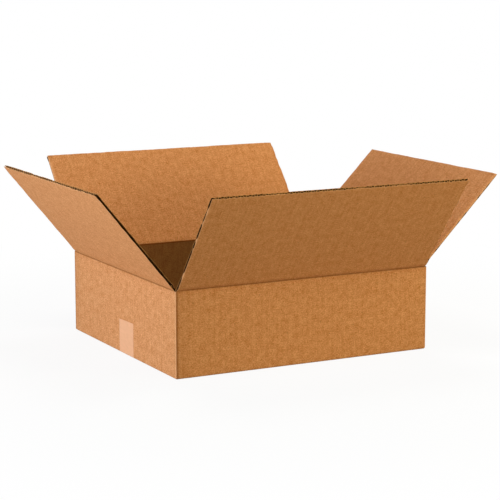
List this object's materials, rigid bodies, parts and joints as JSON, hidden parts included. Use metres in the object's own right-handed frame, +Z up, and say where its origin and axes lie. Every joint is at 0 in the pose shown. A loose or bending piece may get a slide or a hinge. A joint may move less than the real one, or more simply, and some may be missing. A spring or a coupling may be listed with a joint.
{
  "type": "open cardboard box",
  "caption": "Low slotted shipping box in corrugated cardboard, standing open, with hinged top flaps and a bottom closed by tape.",
  "frame": {"origin": "middle of the underside, on the lower face of the tape", "axes": "+Z up, +X along the long walls, +Y from the front wall to the back wall"},
  "size_m": [0.6255, 0.5674, 0.2571],
  "materials": {
    "corrugated_board": "matte kraft liner with fine fibres and faint flute lines",
    "packing_tape": "thin semi-clear film"
  },
  "bodies": {
    "carton": {"box_body": "corrugated_board", "bottom_tape": "packing_tape"},
    "front_flap": {"front_top_flap": "corrugated_board"},
    "back_flap": {"back_top_flap": "corrugated_board"},
    "left_flap": {"left_top_flap": "corrugated_board"},
    "right_flap": {"right_top_flap": "corrugated_board"}
  },
  "joints": [
    {"name": "front_flap_crease", "type": "hinge", "parent": "carton", "child": "front_flap", "pos_m": [0, -0.17215, 0.1207], "axis": [-1, 0, 0], "range_deg": [-62.5, 127.5]},
    {"name": "back_flap_crease", "type": "hinge", "parent": "carton", "child": "back_flap", "pos_m": [0, 0.17215, 0.1207], "axis": [1, 0, 0], "range_deg": [-59, 131]},
    {"name": "left_flap_crease", "type": "hinge", "parent": "carton", "child": "left_flap", "pos_m": [-0.19665, 0, 0.11965], "axis": [0, 1, 0], "range_deg": [-70.5, 129.5]},
    {"name": "right_flap_crease", "type": "hinge", "parent": "carton", "child": "right_flap", "pos_m": [0.19665, 0, 0.11965], "axis": [0, -1, 0], "range_deg": [-65, 135]}
  ]
}
